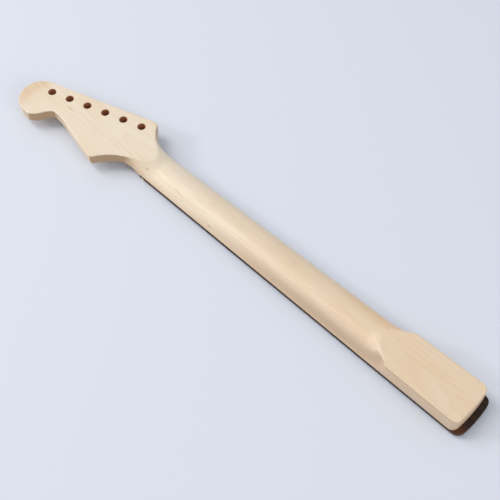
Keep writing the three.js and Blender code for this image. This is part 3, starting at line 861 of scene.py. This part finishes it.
# The bore walls carry painted shade, and are rougher
bored = look.add("Attribute", {"attribute_name": "bored"}, {})["Fac"]
for mask, tint in (
    (flank_shade, flank_shade_tint), (far_flank_shade, far_flank_shade_tint), (near_flank_shade, near_flank_shade_tint),
    (head_wall_shade, head_wall_shade_tint), (ball_band, ball_end_tint), (bored, bore_shade_tint),
):
    tone = look.tinted(mask, tone, tint)
look.give("Base Color", tone)
satin = look.scaled_and_added(bored, 0.3, look.ranged(grain["Clouds"], 0.2, 0.8, 0.32, 0.42))
burnished = look.spot(place, burnished_centre, burnished_size)
look.give("Roughness", look.scaled_and_added(burnished, -0.05, satin))
look.bump(look.scaled_and_added(grain["Pores"], -0.5, grain["Fibres"]), 0.00006)

channel_half = 0.0032
channel_depth = 0.0103
channel_start, channel_end = -0.001, heel_end - 0.0234
pocket_half = 0.0055
pocket_depth = 0.01215
pocket_centre = -0.0245
overrun = 0.005

blank = add_mesh_object("maple_neck", blank_points + neck_origin, blank_faces, maple)
bored_share = np.zeros(len(blank_points))
bored_share[bore_numbers] = smooth_step((tuner_hole_radius + hole_edge - bore_widths) / hole_edge)
blank.data.attributes.new("bored", "FLOAT", "POINT").data.foreach_set("value", bored_share)
pocket_outline = np.vstack((
    [(0, -pocket_half), (0, pocket_half)],
    circle((pocket_centre, 0), pocket_half, 25, math.pi / 2, math.pi),
))
cut_away(blank, prism(pocket_outline, -overrun, pocket_depth))
channel_outline = np.array([
    (channel_start, -channel_half), (channel_end, -channel_half),
    (channel_end, channel_half), (channel_start, channel_half),
])
cut_away(blank, prism(channel_outline, -overrun, channel_depth))
smooth_over(blank)
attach(blank, "neck")
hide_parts("maple_neck_blank")


# Rosewood fingerboard
# A 6 mm board of open-pored rosewood glued over the channel. Its face is crowned to a 241 mm radius,
# its edges are rolled for the hand, and it overhangs the heel. Fret slots are sawn across it.
board_thickness = 0.006
board_radius = 0.241
board_overhang = 0.0074
board_corner_radius = 0.010
board_rolled_edge = 0.0004
board_end_edge = 0.0004
board_start = -0.012
board_bend_length = 0.02
fret_slot_half = 0.0003
fret_slot_depth = 0.002
nut_thickness = 0.0034
nut_clearance = 0.00005
nut_slot_depth = 0.003
dot_radius = 0.003175
dot_depth = 0.0014
dot_gap = 0.00005
side_dot_radius = 0.001
side_dot_length = 0.0025
side_dot_drop = 0.0022
double_dot_reach = 0.0095
side_dot_pair_gap = 0.007
single_dot_frets = (3, 5, 7, 9, 15, 17, 19, 21)
double_dot_fret = 12
board_columns = 76
slot_stations = 25
dot_sides = 48
side_dot_sides = 32
step_sides = 240


def board_face(y):
    """Height of the crowned face: a circle of the board's radius, highest on the centreline."""
    return board_radius - np.sqrt(board_radius ** 2 - np.square(y)) - board_thickness + sanded_off


board_end = heel_end + board_overhang
board_shoulder = board_end - heel_end_sag - board_corner_radius
board_bend = board_shoulder - board_bend_length
board_rows = np.concatenate((
    np.linspace(board_start, 0, 7)[:-1],
    np.linspace(0, board_bend, 90)[:-1],
    np.linspace(board_bend, board_shoulder, 12),
))
board_line = end_outline(board_shoulder, board_end, heel_end_sag, board_corner_radius, board_columns)
board_path = np.vstack((
    np.column_stack((board_rows, -half_width(board_rows))),
    board_line[1:-1],
    np.column_stack((board_rows, half_width(board_rows)))[::-1],
))
past_heel = smooth_step((board_path[:, :1] - heel_end + 2 * board_corner_radius) / board_corner_radius)
board_inset, board_share, board_rise = wall_profile(
    np.full((len(board_path), 1), board_rolled_edge),
    glue_edge + (board_end_edge - glue_edge) * past_heel,
)
board_plan = board_path[:, None] + inward(board_path)[:, None] * (board_inset + sanded_off)[:, :, None]
board_floor = board_face(board_plan[:, :, 1])
board_walls = np.dstack((board_plan, board_floor * (1 - board_share) + board_rise))
board_numbers = numbered(board_walls)

# The face: straight rows across the board, which bend into the line of its rounded end
last_row = len(board_rows) - 1
face_share = np.linspace(0, 1, board_columns)
end_support = board_walls[last_row:last_row + board_columns, 0, :2]
straight_rows = np.minimum(board_rows, board_bend)
row_reach = half_width(straight_rows) - sanded_off - board_rolled_edge - edge_support
straight = np.dstack((
    np.broadcast_to(straight_rows[:, None], (len(board_rows), board_columns)),
    row_reach[:, None] * (2 * face_share - 1),
))
bent = np.clip((board_rows - board_bend) / (board_shoulder - board_bend), 0, 1)[:, None, None]
face_plan = (straight * (1 - bent) + end_support * bent)[:-1, 1:-1]
face_points = np.dstack((face_plan, board_face(face_plan[:, :, 1])))
face_numbers = numbered(face_points, board_numbers.size)
face_grid = np.vstack((
    np.hstack((board_numbers[:last_row, :1], face_numbers, board_numbers[:-last_row - 1:-1, :1])),
    board_numbers[last_row:last_row + board_columns, 0],
))
glue_side = board_numbers[:, -1]
half_path = len(board_path) // 2
glue_strip = np.column_stack((
    glue_side[:half_path - 1], glue_side[1:half_path],
    glue_side[::-1][1:half_path], glue_side[::-1][:half_path - 1],
))
end_cap = np.concatenate((face_grid[0], board_numbers[-1, 1:], board_numbers[0, :0:-1]))
board_faces = (
    grid_faces(board_numbers).tolist() + grid_faces(face_grid)[:, ::-1].tolist()
    + glue_strip.tolist() + [end_cap[::-1].tolist()]
)

board_dark = (0.016, 0.009, 0.007, 1)
board_brown = (0.062, 0.030, 0.019, 1)
# Redder grain, also used for a painted highlight over the treble side of the board's heel end
board_red = (0.150, 0.050, 0.022, 1)
board_pore_tint = (0.30, 0.26, 0.24, 1)
# Tone of a painted highlight on the treble corner's end and side faces
board_corner_highlight = (0.150, 0.125, 0.095, 1)
rosewood, rosewood_shader = plain_material("rosewood", board_brown, 0.5)
rosewood_shader.inputs["Specular IOR Level"].default_value = 0.25
look = Look(rosewood.node_tree, rosewood_shader.inputs)
coordinates = look.add("TexCoord", {}, {})
place = coordinates["Object"]
board_place = look.add("Mapping", {}, {
    "Vector": place, "Location": (0.1, 0.052, 0.02), "Rotation": (0, 0.01, 0.02),
})[0]
grain = look.add("Group", {"node_tree": wood_grain}, {
    "Place": board_place, "Ring Width": 0.0024,
    "Fibre Size": (0.05, 0.0007, 0.0007), "Pore Size": (0.0022, 0.00019, 0.00019),
})
streak = look.scaled_and_added(grain["Rings"], 0.12, grain["Fibres"])
tone = look.tinted(look.ranged(streak, 0.35, 0.70), board_brown, board_dark, "MIX")
# A painted highlight over the treble side of the board's heel end joins the grain's redder clouds
corner_highlight_spot = look.spot(place, (0.325, -0.013, 0.005), (0.05, 0.011, 0.02))
warm = look.worked_out("MAXIMUM", look.ranged(grain["Clouds"], 0.50, 0.75), corner_highlight_spot)
warm = look.product(warm, look.ranged(streak, 0.35, 0.75, 1.0, 0.25))
tone = look.tinted(warm, tone, board_red, "MIX")
# Painted highlight: a lighter, greyer patch on the treble corner's faces that turn from the back
highlight_facing = look.ranged(look.parts(coordinates["Normal"])[2], -0.3, 0.5, 0.8, 0.0)
corner_highlight = look.spot(place, (0.331, -0.0155, 0.0038), (0.016, 0.016, 0.010))
tone = look.tinted(look.product(highlight_facing, corner_highlight), tone, board_corner_highlight, "MIX")
look.give("Base Color", look.tinted(grain["Pores"], tone, board_pore_tint))
oiled = look.ranged(grain["Fibres"], 0.3, 0.7, 0.42, 0.58)
look.give("Roughness", look.scaled_and_added(grain["Pores"], 0.25, oiled))
look.bump(look.scaled_and_added(grain["Pores"], -2.0, grain["Fibres"]), 0.00008)

board = add_mesh_object(
    "rosewood_board",
    np.vstack((board_walls.reshape(-1, 3), face_points.reshape(-1, 3))) + neck_origin,
    board_faces,
    rosewood,
)


def across_board(x, half, section, stations, lean=0.0):
    """Points and faces of a bar across the board: a section that follows the crowned face.

    The section is given round X by the right hand, as places along the board and heights over its
    face, and its ends lean in by a share of how far it stands out of the board.
    """
    section = np.asarray(section)
    reach = half - lean * np.clip(-section[:, 1], 0, None)
    y = np.linspace(-1, 1, stations)[:, None] * reach
    points = np.dstack((np.broadcast_to(x + section[:, 0], y.shape), y, board_face(y) + section[:, 1]))
    numbers = numbered(points)
    faces = grid_faces(np.hstack((numbers, numbers[:, :1]))).tolist()
    return points.reshape(-1, 3), faces + [numbers[0].tolist(), numbers[-1, ::-1].tolist()]


# Each dot's fret, its side where two share a fret, its place, and its side dot's place and board edge
dots = []
for fret, side in [(fret, 0) for fret in single_dot_frets] + [(double_dot_fret, -1), (double_dot_fret, 1)]:
    middle = float(fret_place(fret - 1) + fret_place(fret)) / 2
    side_middle = middle + side * side_dot_pair_gap / 2
    dots.append((fret, side, middle, side_middle, float(half_width(side_middle))))

cut_reach = heel_width / 2 + overrun
slot_section = [
    (-fret_slot_half, -overrun), (-fret_slot_half, fret_slot_depth),
    (fret_slot_half, fret_slot_depth), (fret_slot_half, -overrun),
]
nut_outline = np.array([
    (-nut_thickness - nut_clearance, -cut_reach), (nut_clearance, -cut_reach),
    (nut_clearance, cut_reach), (-nut_thickness - nut_clearance, cut_reach),
])
cutters = [
    across_board(distance, cut_reach, slot_section, slot_stations)
    for distance in fret_place(np.arange(1, fret_count + 1))
]
cutters.append(prism(nut_outline, -board_thickness - overrun, nut_slot_depth - board_thickness))
for fret, side, middle, side_middle, edge in dots:
    bore = circle((middle, side * double_dot_reach), dot_radius + dot_gap, dot_sides)
    cutters.append(prism(bore, -board_thickness - overrun, dot_depth + dot_gap - board_thickness))
    side_bore = circle((-side_dot_drop, side_middle), side_dot_radius + dot_gap, side_dot_sides)
    cutters.append(prism(side_bore, edge - side_dot_length - dot_gap, edge + overrun, axis=1))
cut_away(board, together(cutters))
step_circle = circle((0, 0), step_radius, step_sides) + (head_step - step_radius, -step_foot)
cut_away(board, prism(step_circle, -cut_reach, cut_reach, axis=1))
smooth_over(board)
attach(board, "neck")
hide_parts("rosewood_fingerboard")


# Position dots
# Round markers punched from pearly sheet, glued into shallow bores and sanded flush with the face,
# and small rods let into the bass edge.
dot_edge = 0.00012
pearl_tone = (0.80, 0.79, 0.74, 1)
pearl_rose = (0.84, 0.72, 0.72, 1)
pearl_green = (0.66, 0.80, 0.76, 1)
pearl_shade = (0.55, 0.55, 0.52, 1)

# Fine marks that run one way, such as scratches and file lines, and softer smears over them
fine_marks, look, given = effect_group(
    "fine_marks",
    {"Place": "Vector", "Mark Size": "Vector", "Smear Size": "Vector"},
    ("Marks", "Smears"),
)
look.give("Marks", look.noise(given["Place"], given["Mark Size"], 3.0, 0.7))
look.give("Smears", look.noise(given["Place"], given["Smear Size"], 2.0))


def marked(look, mark_size, smear_size):
    """The marks and the smears of given sizes over a material."""
    marks = look.add("Group", {"node_tree": fine_marks}, {
        "Place": look.add("TexCoord", {}, {})["Object"], "Mark Size": mark_size, "Smear Size": smear_size,
    })
    return marks["Marks"], marks["Smears"]


pearl, pearl_shader = plain_material("pearl", pearl_tone, 0.22)
look = Look(pearl.node_tree, pearl_shader.inputs)
marks, smears = marked(look, (0.0021, 0.0007, 0.0007), (0.0030, 0.0022, 0.0022))
tone = look.tinted(look.ranged(smears, 0.52, 0.68), pearl_tone, pearl_rose, "MIX")
tone = look.tinted(look.ranged(smears, 0.34, 0.48, 1.0, 0.0), tone, pearl_green, "MIX")
tone = look.tinted(look.ranged(marks, 0.50, 0.72, 0.0, 0.6), tone, pearl_shade, "MIX")
look.give("Base Color", tone)
look.give("Roughness", look.ranged(marks, 0.3, 0.7, 0.16, 0.30))
look.bump(marks, 0.00001)


def turned(profile, count, axis=2, across=(0, 0)):
    """Points and faces of a profile of radii and places turned round one axis, closed at both poles."""
    profile = np.asarray(profile)
    angles = np.linspace(0, 2 * math.pi, count, endpoint=False)
    points = np.zeros((count, len(profile) - 2, 3))
    radii, places = profile[1:-1, 0], profile[1:-1, 1]
    points[:, :, axis] = places
    points[:, :, (axis + 1) % 3] = across[0] + radii * np.cos(angles)[:, None]
    points[:, :, (axis + 2) % 3] = across[1] + radii * np.sin(angles)[:, None]
    poles = np.zeros((2, 3))
    poles[:, axis] = profile[[0, -1], 1]
    poles[:, (axis + 1) % 3] = across[0]
    poles[:, (axis + 2) % 3] = across[1]
    numbers = numbered(points)
    first, last = numbers.size, numbers.size + 1
    after = np.roll(numbers, -1, axis=0)
    start_fan = np.column_stack((np.full(count, first), after[:, 0], numbers[:, 0])).tolist()
    end_fan = np.column_stack((np.full(count, last), numbers[:, -1], after[:, -1])).tolist()
    faces = grid_faces(numbers, around=True).tolist() + start_fan + end_fan
    return np.vstack((points.reshape(-1, 3), poles)), faces


for fret, side, middle, side_middle, edge in dots:
    label = f"{fret:02d}" + {-1: "_treble", 0: "", 1: "_bass"}[side]
    dot_profile = [(0, 0)] + [(dot_radius * share, 0) for share in (0.3, 0.6, 0.85)] + [
        (dot_radius - dot_edge, 0), (dot_radius, dot_edge), (dot_radius, dot_depth), (0, dot_depth),
    ]
    points, faces = turned(dot_profile, dot_sides, across=(middle, side * double_dot_reach))
    points[:, 2] += np.where(points[:, 2] < dot_depth / 2, board_face(points[:, 1]), -board_thickness)
    dot = add_mesh_object("pearl_dot_" + label, points + neck_origin, faces, pearl)
    smooth_over(dot)
    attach(dot, "neck")
    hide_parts("face_dot_" + label)
    edge -= sanded_off
    side_label = f"{fret:02d}" + {-1: "_a", 0: "", 1: "_b"}[side]
    rod_profile = [
        (0, edge - side_dot_length + sanded_off), (side_dot_radius, edge - side_dot_length + sanded_off),
        (side_dot_radius, edge - dot_edge), (side_dot_radius - dot_edge, edge), (0, edge),
    ]
    points, faces = turned(rod_profile, side_dot_sides, axis=1, across=(-side_dot_drop, side_middle))
    side_dot = add_mesh_object("pearl_side_dot_" + side_label, points + neck_origin, faces, pearl)
    smooth_over(side_dot)
    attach(side_dot, "neck")
    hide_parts("side_dot_" + side_label)


# Frets
# Nickel silver wire with a domed crown and a thin tang, bent to the board's crown, pressed into the
# slots, cut to length and filed at each end to a slope.
fret_half = 0.0012
fret_height = 0.0011
fret_fullness = 0.85
fret_seat_gap = 0.00003
tang_half = 0.00025
tang_depth = 0.0017
fret_end_inset = 0.00035
fret_end_slope = math.tan(math.radians(32))
fret_stations = 49
crown_turn = np.linspace(0, math.pi, 19)

wire_bright = (0.80, 0.79, 0.75, 1)
wire_dull = (0.66, 0.63, 0.56, 1)
nickel_silver, nickel_shader = plain_material("nickel_silver", wire_bright, 0.22, 1.0)
look = Look(nickel_silver.node_tree, nickel_shader.inputs)
marks, smears = marked(look, (0.00007, 0.006, 0.00007), (0.002, 0.007, 0.002))
tarnish = look.ranged(smears, 0.45, 0.75)
look.give("Base Color", look.tinted(tarnish, wire_bright, wire_dull, "MIX"))
look.give("Roughness", look.scaled_and_added(tarnish, 0.08, look.ranged(marks, 0.3, 0.75, 0.14, 0.34)))
look.bump(marks, 0.000008)


def board_reach(x):
    """Half the board's width, drawn in where its end corners are round."""
    return float(np.interp(x, board_path[:half_path, 0], -board_path[:half_path, 1]))


fret_section = np.vstack((
    np.column_stack((
        fret_half * np.cos(crown_turn),
        -fret_seat_gap - (fret_height - fret_seat_gap) * np.sin(crown_turn) ** fret_fullness,
    )),
    [(-tang_half, -fret_seat_gap), (-tang_half, tang_depth)],
    [(tang_half, tang_depth), (tang_half, -fret_seat_gap)],
))
for number in range(1, fret_count + 1):
    distance = float(fret_place(number))
    reach = board_reach(distance + fret_half) - fret_end_inset
    points, faces = across_board(distance, reach, fret_section[::-1], fret_stations, fret_end_slope)
    fret = add_mesh_object(f"fret_wire_{number:02d}", points + neck_origin, faces, nickel_silver)
    smooth_over(fret)
    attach(fret, "neck")
    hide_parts(f"fret_{number:02d}")


# String nut
# A bar of bleached bone that stands in its slot at the head end of the board. Its top rolls down
# towards the head, and six round-bottomed grooves are filed through it.
nut_stand = 0.0017
nut_rear_height = nut_stand * 0.6
nut_top_depth = nut_thickness * 0.5
nut_edge = 0.0004
nut_end_inset = 0.0001
nut_end_lean = 0.25
nut_stations = 61
string_count = 6
string_span = 0.035
thin_groove = 0.0004
thick_groove = 0.0013
groove_floor_over_frets = 0.0003

bone_tone = (0.73, 0.66, 0.53, 1)
bone_cream = (0.63, 0.53, 0.38, 1)
bone_speck = (0.42, 0.36, 0.27, 1)
bone, bone_shader = plain_material("bone", bone_tone, 0.4)
look = Look(bone.node_tree, bone_shader.inputs)
marks, smears = marked(look, (0.00018, 0.0014, 0.00018), (0.004, 0.007, 0.003))
tone = look.tinted(look.ranged(smears, 0.4, 0.7), bone_tone, bone_cream, "MIX")
specks = look.ranged(marks, 0.58, 0.72, 0.0, 0.7)
look.give("Base Color", look.tinted(specks, tone, bone_speck, "MIX"))
look.give("Roughness", look.ranged(smears, 0.3, 0.7, 0.30, 0.46))
look.bump(look.product(specks, -1.0), 0.00002)

rear_roll = parabola(
    np.array((-nut_thickness, -nut_rear_height)),
    np.array((-nut_thickness * 0.9, -nut_stand)),
    np.array((-nut_top_depth, -nut_stand)),
    9,
)
front_roll = circle((-nut_edge, nut_edge - nut_stand), nut_edge, 6, -math.pi / 2, math.pi / 2)
nut_section = np.vstack((rear_roll, front_roll, [(0, 0), (-nut_thickness, 0)]))
nut_half = float(half_width(0)) - nut_end_inset
points, faces = across_board(0, nut_half, nut_section, nut_stations, nut_end_lean)
in_slot = np.tile(np.arange(len(nut_section)) >= len(nut_section) - 2, nut_stations)
points[in_slot, 2] = nut_slot_depth - board_thickness
nut = add_mesh_object("bone_nut", points + neck_origin, faces, bone)
grooves = []
for string in range(string_count):
    share = string / (string_count - 1)
    y = (share - 0.5) * string_span
    groove_half = (thin_groove + (thick_groove - thin_groove) * share) / 2
    floor = float(board_face(y)) - fret_height - groove_floor_over_frets
    groove = np.vstack((
        circle((y, floor - groove_half), groove_half, 13, 0, math.pi),
        [(y - groove_half, floor - overrun), (y + groove_half, floor - overrun)],
    ))
    grooves.append(prism(groove, -nut_thickness - overrun, overrun, axis=0))
cut_away(nut, together(grooves))
smooth_over(nut)
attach(nut, "neck")
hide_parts("string_nut")


# Truss rod bar and blocks
# A flat steel bar lies under the board with a brass block brazed to each end of it. The threaded rod
# runs beneath the bar through both blocks, so turning it bows the bar and with it the neck.
bar_half = 0.003
bar_top = 0.00015
bar_bottom = 0.00315
block_height = 0.007
block_length = 0.014
head_block_start = 0.003
heel_block_end = heel_end - 0.0236
rod_axis = bar_bottom + block_height / 2
rod_radius = 0.00238
rod_hole_radius = 0.00251
rod_hole_sides = 40
bar_edge = 0.0004


def worked_metal(name, bright, dull, mark_size, smear_size, smooth, rough):
    """A bare metal with fine marks one way and duller smears, which are rougher than the bright metal."""
    metal, shader = plain_material(name, bright, smooth, 1.0)
    look = Look(metal.node_tree, shader.inputs)
    marks, smears = marked(look, mark_size, smear_size)
    duller = look.ranged(smears, 0.38, 0.68)
    tone = look.tinted(duller, bright, dull, "MIX")
    lines = look.ranged(marks, 0.35, 0.7)
    look.give("Base Color", look.tinted(look.product(lines, 0.4), tone, dull, "MIX"))
    sheen = look.ranged(marks, 0.25, 0.8, smooth, rough)
    look.give("Roughness", look.scaled_and_added(duller, 0.1, sheen))
    look.bump(marks, 0.00002)
    return metal


steel = worked_metal(
    "rod_steel", (0.56, 0.57, 0.58, 1), (0.36, 0.34, 0.32, 1),
    (0.00012, 0.004, 0.004), (0.012, 0.003, 0.003), 0.24, 0.42,
)
brass = worked_metal(
    "block_brass", (0.76, 0.58, 0.28, 1), (0.50, 0.34, 0.15, 1),
    (0.008, 0.00012, 0.00012), (0.004, 0.003, 0.003), 0.26, 0.44,
)


def soft_box(low, high, edge):
    """Points and faces of a box with round edges along X and ends drawn in by the same edge."""
    middle = (np.array(low) + np.array(high))[1:] / 2
    half = (np.array(high) - np.array(low))[1:] / 2
    turn = np.linspace(0, math.pi / 2, 5)
    corner = np.column_stack((np.cos(turn), np.sin(turn))) * edge
    quarter = [(1, 1), (-1, 1), (-1, -1), (1, -1)]
    swings = [corner, corner[:, ::-1] * (-1, 1), -corner, corner[:, ::-1] * (1, -1)]
    outline = np.vstack([np.array(side) * (half - edge) + swing for side, swing in zip(quarter, swings)])
    shrink = np.array((1 - edge / half.min(), 1, 1, 1 - edge / half.min()))[:, None, None]
    rings = middle + outline * shrink
    places = np.array((low[0], low[0] + edge, high[0] - edge, high[0]))
    points = np.dstack((np.broadcast_to(places[:, None], rings.shape[:2]), rings))
    numbers = numbered(points)
    faces = grid_faces(np.hstack((numbers, numbers[:, :1])))[:, ::-1].tolist()
    return points.reshape(-1, 3), faces + [numbers[0, ::-1].tolist(), numbers[-1].tolist()]


bar_start = (head_block_start, -bar_half, bar_top)
points, faces = soft_box(bar_start, (heel_block_end, bar_half, bar_bottom), bar_edge)
bar = add_mesh_object("steel_bar", points + neck_origin, faces, steel)
smooth_over(bar)
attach(bar, "neck")
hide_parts("truss_rod_flat_bar")
rod_hole = circle((0, rod_axis), rod_hole_radius, rod_hole_sides)
for end, start in (("head", head_block_start), ("heel", heel_block_end - block_length)):
    low = (start, -bar_half, bar_bottom)
    high = (start + block_length, bar_half, bar_bottom + block_height)
    points, faces = soft_box(low, high, bar_edge)
    block = add_mesh_object("brass_block_" + end, points + neck_origin, faces, brass)
    cut_away(block, prism(rod_hole, start - overrun, start + block_length + overrun, axis=0))
    smooth_over(block)
    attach(block, "neck")
    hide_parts(f"truss_rod_{end}_block")


# Truss rod and adjuster
# A steel rod, threaded at both ends, with a turned barrel welded on at the head end. A hex key fits
# the barrel's socket through the pocket behind the nut, and the two turn together.
adjuster_start, adjuster_end = -0.013, -0.001
adjuster_radius = 0.0045
adjuster_edge = 0.0005
socket_half = 0.0025
socket_depth = 0.007
thread_pitch = 0.0009
thread_depth = 0.00045
thread_length = 0.034
head_thread_end = head_block_start + block_length + thread_length / 2
thread_step = thread_pitch / 6
rod_sides = 24
adjuster_sides = 64

rod_places = np.concatenate((
    np.arange(adjuster_end, head_thread_end, thread_step),
    np.linspace(head_thread_end, heel_block_end - thread_length, 40),
    np.arange(heel_block_end - thread_length, heel_block_end, thread_step),
    [heel_block_end],
))
rod_profile = np.vstack((
    (0, rod_places[0]),
    np.column_stack((np.full(len(rod_places), rod_radius), rod_places)),
    (0, rod_places[-1]),
))
points, faces = turned(rod_profile, rod_sides, axis=0, across=(0, rod_axis))
wound = np.arctan2(points[:, 2] - rod_axis, points[:, 1]) / (2 * math.pi)
phase = (points[:, 0] / thread_pitch - wound) % 1
valley = thread_depth * (1 - np.abs(2 * phase - 1))
head_thread = smooth_step((head_thread_end - points[:, 0]) / thread_pitch)
heel_thread = smooth_step((points[:, 0] - heel_block_end + thread_length) / thread_pitch)
shrink = 1 - valley * np.maximum(head_thread, heel_thread) / rod_radius
points[:, 1] *= shrink
points[:, 2] = rod_axis + (points[:, 2] - rod_axis) * shrink
rod = add_mesh_object("steel_rod", points + neck_origin, faces, steel)
smooth_over(rod, 50)
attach(rod, "truss_rod")
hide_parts("truss_rod_threaded_rod")

barrel_profile = [
    (0, adjuster_start), (adjuster_radius - adjuster_edge, adjuster_start),
    (adjuster_radius, adjuster_start + adjuster_edge), (adjuster_radius, adjuster_end - adjuster_edge),
    (adjuster_radius - adjuster_edge, adjuster_end), (0, adjuster_end),
]
points, faces = turned(barrel_profile, adjuster_sides, axis=0, across=(0, rod_axis))
barrel = add_mesh_object("steel_adjuster", points + neck_origin, faces, steel)
socket = circle((0, rod_axis), socket_half / math.cos(math.pi / 6), 6)
cut_away(barrel, prism(socket, adjuster_start - overrun, adjuster_start + socket_depth, axis=0))
smooth_over(barrel)
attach(barrel, "truss_rod")
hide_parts("truss_rod_adjuster")
